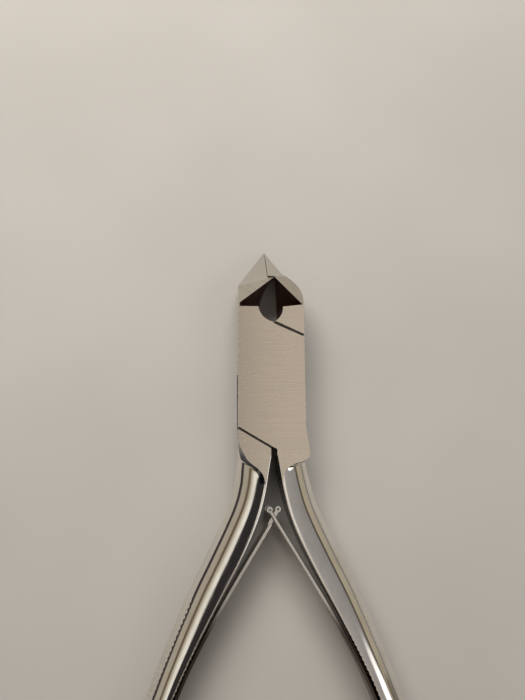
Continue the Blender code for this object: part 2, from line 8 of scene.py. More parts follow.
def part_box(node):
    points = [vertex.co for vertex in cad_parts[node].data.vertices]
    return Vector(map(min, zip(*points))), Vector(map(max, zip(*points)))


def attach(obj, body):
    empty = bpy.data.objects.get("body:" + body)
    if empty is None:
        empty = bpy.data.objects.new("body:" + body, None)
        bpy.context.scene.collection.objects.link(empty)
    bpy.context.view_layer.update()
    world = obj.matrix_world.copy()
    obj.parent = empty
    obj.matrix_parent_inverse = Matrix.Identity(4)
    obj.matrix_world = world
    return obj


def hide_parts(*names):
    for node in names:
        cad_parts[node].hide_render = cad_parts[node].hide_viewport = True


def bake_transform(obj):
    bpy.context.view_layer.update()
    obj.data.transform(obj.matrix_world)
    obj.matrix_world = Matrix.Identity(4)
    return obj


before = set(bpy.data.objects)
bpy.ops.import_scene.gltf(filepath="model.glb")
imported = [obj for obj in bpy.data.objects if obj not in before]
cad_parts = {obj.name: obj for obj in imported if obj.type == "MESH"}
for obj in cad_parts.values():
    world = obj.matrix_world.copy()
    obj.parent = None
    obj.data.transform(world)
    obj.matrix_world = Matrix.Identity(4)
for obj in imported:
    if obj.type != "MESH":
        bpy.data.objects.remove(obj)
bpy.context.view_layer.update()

MM = 0.001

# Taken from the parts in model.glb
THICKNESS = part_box("outer_half")[1].z
PIN_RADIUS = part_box("pivot_pin")[1].x
PIN_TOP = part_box("pivot_pin")[1].z
SPRING_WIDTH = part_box("fork_spring")[1].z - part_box("fork_spring")[0].z
MIDDLE_Z = THICKNESS / 2

# Box joint
BLOCK_LEFT = 5.1 * MM
BLOCK_RIGHT = 4.5 * MM
BLOCK_ABOVE = 10.8 * MM
BLOCK_BELOW = 10.6 * MM
PARTING_GAP = 0.38 * MM
UPPER_PARTING_SIDE = 6.55 * MM
LOWER_PARTING_SIDE = 6.75 * MM
LOWER_PARTING_MID = 9.75 * MM
CORNER_ROUND = 0.6 * MM
WEB_THICK = 2.4 * MM
WEB_RADIUS = 3.7 * MM
WEB_CLEARANCE = 0.15 * MM
WEB_SHOULDER = 2.2 * MM
WEB_OVERLAP = 0.5 * MM
# degrees about the pin, where the round parts of the web and of its slot start and end
WEB_RIGHT_TURN = (20.0, -75.0)
WEB_LEFT_TURN = (200.0, 112.0)
SLOT_RIGHT_TURN = (-17.0, -75.0)
SLOT_LEFT_TURN = (163.0, 112.0)
PIN_EDGE = 0.05 * MM
PIN_FIT = 0.02 * MM
PIN_WEB_FIT = 0.06 * MM
EDGE = 0.07 * MM                # broken edges of the box and the jaws

# Head
TIP = Vector((-0.9 * MM, BLOCK_ABOVE + 9.8 * MM, 0.8 * MM))
HEEL = Vector((0.2 * MM, BLOCK_ABOVE + 4.6 * MM, THICKNESS - 0.1 * MM))
HEEL_SIDE = HEEL - Vector((1.0 * MM, 0.0, 0.5 * MM))
SHOULDER = Vector((-BLOCK_LEFT, BLOCK_ABOVE + 3.4 * MM, THICKNESS - 1.4 * MM))
CROWN = Vector((1.4 * MM, BLOCK_ABOVE + 5.3 * MM, THICKNESS - 1.4 * MM))
CHEEK = Vector((BLOCK_RIGHT - 1.2 * MM, BLOCK_ABOVE + 3.8 * MM, THICKNESS - 1.4 * MM))
CHEEK_START = 1.5 * MM
ARCH_LEFT = Vector((0.2 * MM - BLOCK_LEFT, BLOCK_ABOVE + 0.55 * MM, THICKNESS))
ARCH_RIGHT = Vector((BLOCK_RIGHT - 0.2 * MM, BLOCK_ABOVE + 0.35 * MM, THICKNESS))
EYE_BOTTOM = BLOCK_ABOVE - 2.3 * MM
EYE_LEFT = 2.2 * MM
EYE_RIGHT = 1.4 * MM
EYE_BULGE = 0.16
EYE_BACK = 0.75                 # share of the eye's width left at the back
ARCH_DROP = 0.1 * MM            # of the arch's peak below the heel
LENS_TOP = Vector((0.75 * MM, BLOCK_ABOVE + 6.3 * MM))   # of the hollow, at the back
LENS_RIGHT = 5                  # fullness of the lens's sides
LENS_LEFT = 6
HOLLOW_LEVELS = 12
HOLLOW_PAST = 2                 # more levels beyond each face
JAW_GAP = 0.04 * MM
HEEL_CLEAR = 0.05 * MM

# Handles: distances below the box, and shares of the handle's length
HANDLE_LENGTH = 73.5 * MM
HANDLE_SPREAD = 20.4 * MM
HANDLE_CURVE = (
    (0.000, 0.020), (0.028, 0.038), (0.065, 0.060), (0.111, 0.103), (0.156, 0.168),
    (0.210, 0.265), (0.263, 0.370), (0.316, 0.472), (0.369, 0.568), (0.422, 0.657),
    (0.550, 0.840), (0.680, 0.960), (0.800, 1.000), (0.900, 0.975), (1.000, 0.890),
)
HANDLE_START = HANDLE_CURVE[0][1] * HANDLE_SPREAD
ROOT_LEFT = 4.4 * MM            # of the left handle's own metal above the box's lower edge
ROOT_RIGHT = 5.0 * MM
ROOT_LAP = 0.4 * MM             # of the box inside the right handle's root
ROOT_SETBACK = 0.02 * MM        # of what is joined, so that no two faces lie in one plane
FLARE = 0.6 * MM                # the right handle's root stands out from the box's side
HANDLE_EDGE = 0.1 * MM          # rounding of the inner edges
HANDLE_STRIP = 0.14 * MM        # flat strip left along the inner edges
WALL_MARGIN = 5 * HANDLE_EDGE   # strip of the inner wall next to its rounded edge
WALL_STEPS = 3
FACE_LEAST = 1.5 * HANDLE_EDGE
SCOOP = 1.0 * MM                # width of the hollow grinding beside the face
SCOOP_MOST = 0.85               # share of the metal beside the face that it may take
SCOOP_STEPS = 8
DOME_STEPS = 20
DOME_FORMED = 1.0 * MM          # from where the face narrows until the back is a dome
TURN_FORMED = 0.05              # share of the length over which the sections start to turn
LEFT_SCOOP = 0.3 * MM           # the scoop gets painted shade where the face is wider than this
RIGHT_SCOOP = 2.9 * MM
# how wide the flat face still is, at distances below the box's lower edge
LEFT_FACE = ((-2.0, 4.66), (-0.6, 4.1), (0.7, 3.3), (1.4, 2.5), (2.0, 1.6), (2.7, 0.85),
             (3.6, 0.38), (5.0, 0.2))
RIGHT_FACE = ((0.2, 4.62), (0.6, 4.1), (1.0, 3.3), (1.3, 2.3), (1.6, 1.6), (2.1, 0.85), (2.8, 0.4),
              (4.0, 0.2))
LEFT_WIDTHS = ((0.0, 4.69), (0.07, 4.35), (0.17, 4.45), (0.27, 4.2), (0.45, 3.35),
               (0.90, 3.35), (1.0, 2.6))
RIGHT_WIDTHS = ((0.0, 4.55), (0.018, 4.2), (0.07, 4.3), (0.17, 4.45), (0.27, 4.2),
                (0.45, 3.35), (0.90, 3.35), (1.0, 2.6))
END_CAP = 1.2 * MM              # of the end past the handle's length
END_ROUND = 3.0 * MM            # of the end, seen from the front
END_FLAT = 0.3                  # share of the height left at the very end
END_TURN = 84.0                 # degrees of the end's rounding
END_STEPS = 14

# Notches of the grip
NOTCH_PITCH = 0.64 * MM
NOTCH_STEPS = 4
NOTCH_HALF = 0.3                # half a notch's width, as a share of the pitch
NOTCH_DEPTH = 0.18 * MM
NOTCH_START = 20.0 * MM         # below the box
NOTCH_FADE = 3.0 * MM
NOTCH_END = 69.0 * MM
GRIP_FULL = 1.3 * MM            # heights from the middle where the notches start to fade and end
GRIP_NONE = 2.1 * MM
GRIP_WALL = 0.8                 # share of the notches' depth on the inner wall

# Springs and their screws
SPRING_THICK = 0.5 * MM
SPRING_CROSSING = 8.6 * MM
SPRING_PAST = 1.25 * MM
SPRING_ANGLE = math.radians(31.0)
SPRING_SEAT = 32.0 * MM
SPRING_TAIL = 38.8 * MM
SCREW_PLACE = 36.5 * MM
SEAT_GAP = 0.2 * MM
LEAF_EDGE = 0.12 * MM
LEAF_CORNER = 0.02 * MM         # rounding left at the very end of a leaf
LEAF_HOLE_FIT = 0.12 * MM
ROLL_RADIUS = 0.42 * MM         # rolled tip of a leaf
ROLL_EYE = 0.18 * MM
TONGUE_WIDTH = 1.5 * MM
TONGUE_SHOULDER = 0.95 * MM
FORK_CLEARANCE = 0.25 * MM
FORK_ROOT = 3.2 * MM
SCREW_HEAD_RADIUS = 1.35 * MM
SCREW_HEAD_HEIGHT = 0.9 * MM
SCREW_HEAD_LIFT = 0.02 * MM
SCREW_HEAD_EDGE = 0.06 * MM
CROWN_SHARE = 0.92              # of the head's radius
CROWN_DROP = 0.12 * MM
CROWN_STEPS = 6
RIM_SHARE = 0.97
RIM_TOP = 0.2 * MM
RIM_BOTTOM = 0.3 * MM
SCREW_SLOT = 0.35 * MM
SCREW_SHANK = 0.7 * MM
SCREW_POINT = 0.15 * MM
SCREW_DEPTH = 2.0 * MM
SCREW_HOLE_FIT = 0.05 * MM

# Making the meshes
PAST = 1.0 * MM                 # a cutter reaches this far beyond what it cuts
CUTTER_SIZE = 60.0 * MM
BEND_STEPS = 12
CORNER_STEPS = 8
ARC_STEPS = 16
TURN_STEPS = 72
PIN_STEPS = 96
ROLL_STEPS = 32
EYE_STEPS = 24
WELD = 0.002 * MM
AXIS_WELD = 0.001 * MM
SLIVER = 0.0004 * MM            # shorter edges than this are merged away
ONE_PLANE = math.radians(0.2)
BROKEN_ANGLE = math.radians(28.0)   # sharper edges than this are broken
SHARP_ANGLE = math.radians(32.0)
LEVEL = 0.99999                 # a normal this upright belongs to a level face
LARGE_FACE = 0.8 * MM * MM
PROUD = 1.001                   # handles are this much thicker than the box, to cover its edges

# Grain of the steels: repeats per metre along X, Y and Z, before it is turned
FINE_GRAIN = (260.0, 9000.0, 260.0)
BROAD_GRAIN = (40.0, 2200.0, 40.0)
CLOUDS = (180.0, 180.0, 180.0)
WAVES = (260.0, 120.0, 260.0)
HAIRLINES = (7000.0, 500.0, 7000.0)
HAIRLINE_TURN = 0.35
SMEARS = (420.0, 300.0, 420.0)
PAINTED_SHADE_PLACE = -32.0 * MM         # along Y, below which painted shadow darkens the springs
PAINTED_SHADE_FADE = 3.0 * MM

# Floor and light
FLOOR_SIZE = 6.0
FLOOR_DROP = 0.02 * MM
FLOOR_CLOUDS = (30.0, 30.0, 30.0)
KEY_PLACE = Vector((-0.06, 0.20, 0.20))
# where each part of the room starts and is full, along the direction's Y or the ramp's share
FAR_WALL = (0.55, 0.8)
NEAR_WALL = (0.5, 0.75)
LOW_RIGHT = (0.84, 0.86)
HANDLE_SIDE = (-0.06, 0.06)
LAMP = Vector((0.71, -0.25, 0.66)).normalized()     # a small bright lamp in the room
LAMP_FULL = math.radians(8.0)
LAMP_EDGE = math.radians(16.0)


# ------------------------------ camera

def make_camera():
    """Looks down on the box joint from a hand's height, leaning a little to the left and below."""
    lean_side = math.radians(4.5)
    lean_down = math.radians(10.0)
    roll = math.radians(0.3)
    distance = 95.0 * MM
    aim_left = 1.643 * MM
    aim_up = 4.286 * MM
    back = Vector((-math.tan(lean_side), -math.tan(lean_down), 1.0)).normalized()
    up = Vector((math.sin(roll), math.cos(roll), 0.0))
    up = (up - back * up.dot(back)).normalized()
    right = up.cross(back)
    place = Vector((0.0, 0.0, THICKNESS)) + back * distance - right * aim_left + up * aim_up
    data = bpy.data.cameras.new("camera")
    data.sensor_fit = "VERTICAL"
    data.sensor_height = 36.0
    data.lens = 34.2
    data.clip_start = 0.001
    camera = bpy.data.objects.new("camera", data)
    bpy.context.scene.collection.objects.link(camera)
    turn = Matrix((right, up, back)).transposed().to_4x4()
    camera.matrix_world = Matrix.Translation(place) @ turn
    bpy.context.scene.camera = camera


# ------------------------------ node helpers

class Nodes:
    """Short calls for building a node tree."""

    def __init__(self, tree):
        self.tree = tree

    def add(self, kind, inputs=None, **settings):
        node = self.tree.nodes.new(kind)
        for name, value in settings.items():
            setattr(node, name, value)
        for name, value in (inputs or {}).items():
            self.feed(node.inputs[name], value)
        return node

    def feed(self, socket, value):
        if isinstance(value, bpy.types.NodeSocket):
            self.tree.links.new(value, socket)
        else:
            socket.default_value = value

    def math(self, operation, first, second):
        node = self.add("ShaderNodeMath", operation=operation)
        self.feed(node.inputs[0], first)
        self.feed(node.inputs[1], second)
        return node.outputs[0]

    def span(self, value, low, high, to_low=0.0, to_high=1.0):
        node = self.add("ShaderNodeMapRange", interpolation_type="SMOOTHSTEP")
        for name, number in (("Value", value), ("From Min", low), ("From Max", high),
                             ("To Min", to_low), ("To Max", to_high)):
            self.feed(node.inputs[name], number)
        return node.outputs["Result"]

    def mix(self, share, first, second):
        node = self.add("ShaderNodeMix", data_type="RGBA")
        self.feed(node.inputs[0], share)
        self.feed(node.inputs[6], first)
        self.feed(node.inputs[7], second)
        return node.outputs[2]

    def noise(self, vector, detail, roughness=0.5):
        inputs = {"Vector": vector, "Scale": 1.0, "Detail": detail, "Roughness": roughness}
        return self.add("ShaderNodeTexNoise", inputs).outputs["Fac"]

    def stretched(self, turn, scale):
        """Object coordinates turned about Z and scaled to a grain's length and pitch, per metre."""
        place = self.add("ShaderNodeTexCoord").outputs["Object"]
        turned = self.add("ShaderNodeMapping", {"Vector": place, "Rotation": (0.0, 0.0, turn)})
        inputs = {"Vector": turned.outputs["Vector"], "Scale": scale}
        return self.add("ShaderNodeMapping", inputs).outputs["Vector"]


def grey(red, green, blue):
    return (red, green, blue, 1.0)


def new_material(name):
    material = bpy.data.materials.new(name)
    material.use_nodes = True
    shader = material.node_tree.nodes["Principled BSDF"]
    return material, Nodes(material.node_tree), shader


# ------------------------------ steels

def ground_steel(name, light, dark, roughness, turn, depth, painted_shade_below=None):
    """Steel ground on a belt: fine straight scratches over soft broader bands.

    Where a place along Y is given, painted shadow darkens the steel below it.
    """
    material, nodes, shader = new_material(name)
    fine = nodes.noise(nodes.stretched(turn, FINE_GRAIN), 3.0, 0.6)
    bands = nodes.noise(nodes.stretched(turn, BROAD_GRAIN), 3.0, 0.6)
    cloud = nodes.noise(nodes.stretched(0.0, CLOUDS), 2.0)
    grain = nodes.math("ADD", nodes.math("MULTIPLY", fine, 0.5), nodes.math("MULTIPLY", bands, 0.5))
    tone = nodes.math("ADD", nodes.math("MULTIPLY", grain, 0.8), nodes.math("MULTIPLY", cloud, 0.2))
    colour = nodes.mix(nodes.span(tone, 0.32, 0.68), dark, light)
    # painted shadow: the steel turns darker below the given place along Y
    if painted_shade_below is not None:
        place = nodes.add("ShaderNodeTexCoord").outputs["Object"]
        height = nodes.add("ShaderNodeSeparateXYZ", {"Vector": place}).outputs["Y"]
        kept = nodes.span(height, painted_shade_below - PAINTED_SHADE_FADE, painted_shade_below + PAINTED_SHADE_FADE)
        colour = nodes.mix(kept, grey(0.10, 0.08, 0.065), colour)
    nodes.feed(shader.inputs["Base Color"], colour)
    rough = nodes.span(grain, 0.3, 0.7, roughness - 0.02, roughness + 0.03)
    nodes.feed(shader.inputs["Roughness"], rough)
    shader.inputs["Metallic"].default_value = 1.0
    bump = nodes.add("ShaderNodeBump", {"Height": grain, "Strength": 0.5, "Distance": depth})
    nodes.feed(shader.inputs["Normal"], bump.outputs["Normal"])
    return material


def polished_steel(name, light, dark, roughness):
    """Mirror-polished steel: nearly clean, with a slight waviness and hairline wipe marks."""
    material, nodes, shader = new_material(name)
    wave = nodes.noise(nodes.stretched(0.0, WAVES), 1.0)
    hair = nodes.noise(nodes.stretched(HAIRLINE_TURN, HAIRLINES), 3.0, 0.65)
    smear = nodes.noise(nodes.stretched(0.0, SMEARS), 4.0, 0.6)
    nodes.feed(shader.inputs["Base Color"], nodes.mix(nodes.span(smear, 0.35, 0.7), light, dark))
    clean = nodes.span(smear, 0.4, 0.75, 0.0, 0.07)
    rough = nodes.math("ADD", clean, nodes.span(hair, 0.45, 0.8, roughness, roughness + 0.06))
    nodes.feed(shader.inputs["Roughness"], rough)
    shader.inputs["Metallic"].default_value = 1.0
    low = nodes.add("ShaderNodeBump", {"Height": wave, "Strength": 0.15, "Distance": 0.1 * MM})
    inputs = {"Height": hair, "Strength": 0.2, "Distance": 0.004 * MM,
              "Normal": low.outputs["Normal"]}
    fine = nodes.add("ShaderNodeBump", inputs)
    nodes.feed(shader.inputs["Normal"], fine.outputs["Normal"])
    return material


# Whatever goes into a half carries this whole list, so that a cut face keeps its cutter's finish
FINISHES = ("face", "facet", "band", "hollow", "scoop", "polished", "edge", "inner")


def coat(piece, steels, finish, flats=None):
    """One finish all over, and another on the level faces."""
    mesh = piece.data
    mesh.materials.clear()
    for name in FINISHES:
        mesh.materials.append(steels[name])
    for polygon in mesh.polygons:
        level = flats is not None and abs(polygon.normal.z) > LEVEL
        polygon.material_index = FINISHES.index(flats if level else finish)
    return piece


# ------------------------------ mesh helpers

def mesh_piece(name, bm):
    bmesh.ops.recalc_face_normals(bm, faces=bm.faces)
    mesh = bpy.data.meshes.new(name)
    bm.to_mesh(mesh)
    bm.free()
    piece = bpy.data.objects.new(name, mesh)
    bpy.context.scene.collection.objects.link(piece)
    return piece


def slab(name, outline, low, high):
    """A flat outline between two heights."""
    bm = bmesh.new()
    bottom = [bm.verts.new((place[0], place[1], low)) for place in outline]
    face = bm.faces.new(bottom)
    made = bmesh.ops.extrude_face_region(bm, geom=[face])
    lifted = [item for item in made["geom"] if isinstance(item, bmesh.types.BMVert)]
    bmesh.ops.translate(bm, verts=lifted, vec=(0.0, 0.0, high - low))
    return mesh_piece(name, bm)


def fan(bm, verts):
    """Closes a round end with triangles from its middle."""
    middle = bm.verts.new(sum((vert.co for vert in verts), Vector()) / len(verts))
    for vert, following in zip(verts, verts[1:] + verts[:1]):
        bm.faces.new((vert, following, middle))


def loft(name, sections, round_ends=False):
    """A closed solid through sections that each have the same number of points."""
    bm = bmesh.new()
    rings = [[bm.verts.new(point) for point in section] for section in sections]
    for ring, following in zip(rings, rings[1:]):
        for index in range(len(ring)):
            step = (index + 1) % len(ring)
            bm.faces.new((ring[index], ring[step], following[step], following[index]))
    if round_ends:
        fan(bm, rings[0])
        fan(bm, rings[-1])
    else:
        caps = [bm.faces.new(rings[0]), bm.faces.new(rings[-1])]
        bmesh.ops.triangulate(bm, faces=caps)
    return mesh_piece(name, bm)


def turned(name, profile, steps=TURN_STEPS):
    """A solid turned about Z from (radius, height) points that start and end on the axis."""
    bm = bmesh.new()
    points = [bm.verts.new((radius, 0.0, height)) for radius, height in profile]
    edges = [bm.edges.new(pair) for pair in zip(points, points[1:])]
    bmesh.ops.spin(bm, geom=points + edges, axis=(0, 0, 1), cent=(0, 0, 0),
                   angle=2 * math.pi, steps=steps, use_merge=True)
    bmesh.ops.remove_doubles(bm, verts=bm.verts, dist=AXIS_WELD)
    return mesh_piece(name, bm)


def block(name, low, high):
    low = Vector(low)
    high = Vector(high)
    bm = bmesh.new()
    place = Matrix.Translation((low + high) / 2) @ Matrix.Diagonal((*(high - low), 1.0))
    bmesh.ops.create_cube(bm, size=1.0, matrix=place)
    return mesh_piece(name, bm)


def slab_above(name, corners):
    """A large cube whose underside lies in the plane through three points."""
    first, second, third = corners
    normal = (second - first).cross(third - first).normalized()
    if normal.z < 0:
        normal.negate()
    turn = normal.to_track_quat("Z", "Y").to_matrix().to_4x4()
    centre = (first + second + third) / 3 + normal * (CUTTER_SIZE / 2)
    bm = bmesh.new()
    bmesh.ops.create_cube(bm, size=CUTTER_SIZE, matrix=Matrix.Translation(centre) @ turn)
    return mesh_piece(name, bm)


def finished(piece):
    """The piece's mesh with its modifiers applied."""
    bpy.context.view_layer.update()
    graph = bpy.context.evaluated_depsgraph_get()
    mesh = bpy.data.meshes.new_from_object(piece.evaluated_get(graph))
    piece.modifiers.clear()
    piece.data = mesh
    return piece


def combine(piece, other, operation):
    """Joins or cuts the piece with another, which is used up."""
    modifier = piece.modifiers.new(operation, "BOOLEAN")
    modifier.object = other
    modifier.operation = operation
    modifier.solver = "EXACT"
    finished(piece)
    bpy.data.objects.remove(other)
    return piece


def join_faces(piece):
    """Welds close points and joins faces that lie in one plane."""
    bm = bmesh.new()
    bm.from_mesh(piece.data)
    bmesh.ops.remove_doubles(bm, verts=bm.verts, dist=WELD)
    bmesh.ops.dissolve_limit(bm, angle_limit=ONE_PLANE, verts=bm.verts, edges=bm.edges)
    bm.to_mesh(piece.data)
    bm.free()


def break_edges(piece):
    """Narrow rounded edges, as a wheel leaves them."""
    join_faces(piece)
    bevel = piece.modifiers.new("edges", "BEVEL")
    bevel.width = EDGE
    bevel.segments = 2
    bevel.limit_method = "ANGLE"
    bevel.angle_limit = BROKEN_ANGLE
    bevel.use_clamp_overlap = True
    bevel.material = FINISHES.index("edge")
    return finished(piece)


def shade(piece):
    """Smooth, with sharp edges kept sharp and the level and large faces dead flat."""
    bm = bmesh.new()
    bm.from_mesh(piece.data)
    bmesh.ops.remove_doubles(bm, verts=bm.verts, dist=SLIVER)
    bmesh.ops.dissolve_degenerate(bm, edges=bm.edges, dist=SLIVER)
    bm.to_mesh(piece.data)
    bm.free()
    piece.data.shade_smooth()
    piece.data.set_sharp_from_angle(angle=SHARP_ANGLE)
    for polygon in piece.data.polygons:
        if abs(polygon.normal.z) > LEVEL or polygon.area > LARGE_FACE:
            polygon.use_smooth = False


def bend(start, corner, end, steps=BEND_STEPS):
    """Points of a curve from start to end that leaves towards the corner and arrives from it."""
    shares = [step / steps for step in range(steps + 1)]
    return [start.lerp(corner, t).lerp(corner.lerp(end, t), t) for t in shares]


def arc(radius, turn):
    """Points about the pin's axis between two angles in degrees."""
    start, end = turn
    angles = [math.radians(start + (end - start) * step / ARC_STEPS) for step in range(ARC_STEPS + 1)]
    return [(radius * math.cos(angle), radius * math.sin(angle)) for angle in angles]


def smooth_step(value, start, end):
    t = min(max((value - start) / (end - start), 0.0), 1.0)
    return t * t * (3 - 2 * t)


def smooth_value(pairs, share):
    """A smooth value at a place along (place, value) pairs, level beyond their ends."""
    share = min(max(share, pairs[0][0]), pairs[-1][0])
    index = 0
    while index < len(pairs) - 2 and pairs[index + 1][0] < share:
        index += 1
    place, value = pairs[index]
    next_place, next_value = pairs[index + 1]
    before = pairs[max(index - 1, 0)]
    after = pairs[min(index + 2, len(pairs) - 1)]
    span = next_place - place
    slope = (next_value - before[1]) / (next_place - before[0])
    next_slope = (after[1] - value) / (after[0] - place)
    t = (share - place) / span
    return (
        (2 * t**3 - 3 * t**2 + 1) * value
        + (t**3 - 2 * t**2 + t) * span * slope
        + (3 * t**2 - 2 * t**3) * next_value
        + (t**3 - t**2) * span * next_slope
    )


def mirrored(points):
    return [(-point[0], *point[1:]) for point in points]


# ------------------------------ handles

def inner_side(below):
    """The right handle's inner side, at a distance below the box."""
    share = below / HANDLE_LENGTH
    return Vector((smooth_value(HANDLE_CURVE, share) * HANDLE_SPREAD, -BLOCK_BELOW - below))


def towards_end(below):
    step = 0.3 * MM
    high = max(below - step, 0.0)
    low = min(below + step, HANDLE_LENGTH)
    return (inner_side(low) - inner_side(high)).normalized()


def outward(below):
    along = towards_end(below)
    return Vector((-along.y, along.x))


def upper_profile(face, width, boxed):
    """From the middle of the inner side, over the face, the scoop and the dome, to the back.

    boxed is 1 where the back is still the box's own side, and 0 where the dome has formed.
    """
    points = [(0.0, 0.0), (0.0, MIDDLE_Z - WALL_MARGIN)]
    for step in range(WALL_STEPS + 1):
        angle = math.radians(180.0 - 90.0 * step / WALL_STEPS)
        points.append((HANDLE_EDGE + HANDLE_EDGE * math.cos(angle),
                       MIDDLE_Z - HANDLE_EDGE + HANDLE_EDGE * math.sin(angle)))
    face = max(face, FACE_LEAST)
    start = HANDLE_STRIP + (face - HANDLE_STRIP) * boxed
    start = min(start, face)
    scoop = min(SCOOP, SCOOP_MOST * (width - face))
    for step in range(SCOOP_STEPS):
        t = step / SCOOP_STEPS
        reach = face + scoop * t
        dome = MIDDLE_Z * math.sqrt(max(1.0 - ((reach - start) / (width - start)) ** 2, 0.0))
        points.append((reach, dome + (MIDDLE_Z - dome) * (1.0 - t) ** 2))
    first = math.asin((face + scoop - start) / (width - start))
    for step in range(DOME_STEPS + 1):
        angle = first + (math.pi / 2 - first) * step / DOME_STEPS
        points.append((start + (width - start) * math.sin(angle), MIDDLE_Z * math.cos(angle)))
    return points


def ring(start, out, upper):
    """A whole section from its upper half."""
    lower = [(reach, -height) for reach, height in upper[-2:0:-1]]
    return [(start.x + out.x * reach, start.y + out.y * reach, MIDDLE_Z + height * PROUD)
            for reach, height in upper + lower]


def handle_rings(faces, widths, root, face_side, flare):
    """Sections of a handle from inside the box to its rounded end, drawn on the right side.

    Each section comes with its place below the box and the width of its flat face.
    """
    faces = [(place * MM, value * MM) for place, value in faces]
    widths = [(share, value * MM) for share, value in widths]
    spacing = NOTCH_PITCH / NOTCH_STEPS
    last = HANDLE_LENGTH + END_CAP - END_ROUND
    count = round((last + root) / spacing)
    rings = []
    places = []
    for index in range(count + 1):
        below = -root + (last + root) * index / count
        if below < 0.0:
            start = Vector((HANDLE_START + ROOT_SETBACK, -BLOCK_BELOW - below))
            out = Vector((1.0, 0.0))
        else:
            start = inner_side(below)
            share = smooth_step(below / HANDLE_LENGTH, 0.0, TURN_FORMED)
            out = Vector((1.0, 0.0)).lerp(outward(below), share)
        first_face = faces[0][0]
        bulge = flare * smooth_step(below, -root, first_face)
        face_full = face_side - HANDLE_START - EDGE + bulge
        face = min(smooth_value(faces, below), face_full)
        boxed = 1.0 - smooth_step(below, first_face, first_face + DOME_FORMED)
        width = smooth_value(widths, max(below, 0.0) / HANDLE_LENGTH)
        if below < first_face:
            width = face_full + EDGE - 2 * ROOT_SETBACK
        width = max(width, face + EDGE - 2 * ROOT_SETBACK)
        rings.append(ring(start, out, upper_profile(face, width, boxed)))
        places.append((below, face))
    end = inner_side(last)
    along = towards_end(last)
    out = outward(last)
    full = smooth_value(widths, last / HANDLE_LENGTH)
    for step in range(1, END_STEPS + 1):
        turn = math.radians(END_TURN * step / END_STEPS)
        shrink = math.cos(turn)
        width = full * shrink
        start = end + along * (END_ROUND * math.sin(turn)) + out * ((full - width) / 2)
        scaled = [(reach * shrink, height * (END_FLAT + (1.0 - END_FLAT) * shrink))
                  for reach, height in upper_profile(HANDLE_STRIP, full, 0.0)]
        rings.append(ring(start, out, scaled))
        places.append((last + END_ROUND * math.sin(turn), HANDLE_STRIP))
    return rings, places


def notch_tree():
    """Geometry nodes that press V notches across a grip, at a pitch, where the grip is marked."""
    tree = bpy.data.node_groups.new("grip_notches", "GeometryNodeTree")
    sockets = tree.interface
    sockets.new_socket("Geometry", in_out="INPUT", socket_type="NodeSocketGeometry")
    for name in ("Pitch", "Depth"):
        sockets.new_socket(name, in_out="INPUT", socket_type="NodeSocketFloat")
    sockets.new_socket("Steel", in_out="INPUT", socket_type="NodeSocketMaterial")
    sockets.new_socket("Geometry", in_out="OUTPUT", socket_type="NodeSocketGeometry")
    nodes = Nodes(tree)
    given = nodes.add("NodeGroupInput").outputs
    along = nodes.add("GeometryNodeInputNamedAttribute", {"Name": "along"}, data_type="FLOAT")
    grip = nodes.add("GeometryNodeInputNamedAttribute", {"Name": "grip"}, data_type="FLOAT")
    turns = nodes.math("DIVIDE", along.outputs["Attribute"], given["Pitch"])
    phase = nodes.math("PINGPONG", turns, 0.5)
    cut = nodes.span(phase, 0.0, NOTCH_HALF, 1.0, 0.0)
    depth = nodes.math("MULTIPLY", nodes.math("MULTIPLY", cut, given["Depth"]),
                       grip.outputs["Attribute"])
    normal = nodes.add("GeometryNodeInputNormal").outputs["Normal"]
    scaled = nodes.add("ShaderNodeVectorMath", operation="SCALE")
    nodes.feed(scaled.inputs[0], normal)
    nodes.feed(scaled.inputs["Scale"], nodes.math("MULTIPLY", depth, -1.0))
    moved = nodes.add("GeometryNodeSetPosition", {"Geometry": given["Geometry"],
                                                  "Offset": scaled.outputs["Vector"]})
    real = nodes.add("GeometryNodeRealizeInstances", {"Geometry": moved.outputs["Geometry"]})
    coated = nodes.add("GeometryNodeSetMaterial", {"Geometry": real.outputs["Geometry"],
                                                   "Material": given["Steel"]})
    result = nodes.add("NodeGroupOutput")
    nodes.feed(result.inputs[0], coated.outputs["Geometry"])
    return tree


def cut_notches(piece, places, ring_points, tree, steel):
    """Marks where the grip is notched, then runs the node tree."""
    mesh = piece.data
    along = mesh.attributes.new("along", "FLOAT", "POINT")
    grip = mesh.attributes.new("grip", "FLOAT", "POINT")
    for index in range(len(places) * len(ring_points)):
        below = places[index // len(ring_points)][0]
        point = index % len(ring_points)
        height = abs(ring_points[point][1])
        reach = ring_points[point][0]
        fade = smooth_step(below, NOTCH_START, NOTCH_START + NOTCH_FADE)
        fade *= 1.0 - smooth_step(below, NOTCH_END - NOTCH_FADE, NOTCH_END)
        share = 1.0 - smooth_step(height, GRIP_FULL, GRIP_NONE)
        if reach < HANDLE_EDGE:
            wall_start = NOTCH_START + NOTCH_FADE
            share = GRIP_WALL * smooth_step(below, wall_start, wall_start + NOTCH_FADE)
        along.data[index].value = below
        grip.data[index].value = fade * share
    modifier = piece.modifiers.new("notches", "NODES")
    modifier.node_group = tree
    values = {"Pitch": NOTCH_PITCH, "Depth": NOTCH_DEPTH, "Steel": steel}
    for item in tree.interface.items_tree:
        if item.in_out == "INPUT" and item.name in values:
            modifier[item.identifier] = values[item.name]
    return finished(piece)


def finish_round_section(upper, scoop):
    """The finish of each side of a section: wall, its rounded edge, the face, scoop, then the dome."""
    names = ["inner"] * 2 + ["edge"] * WALL_STEPS + ["face"] + [scoop] * (SCOOP_STEPS - 2)
    names += ["polished"] * (len(upper) - 1 - len(names))
    return names + names[::-1]


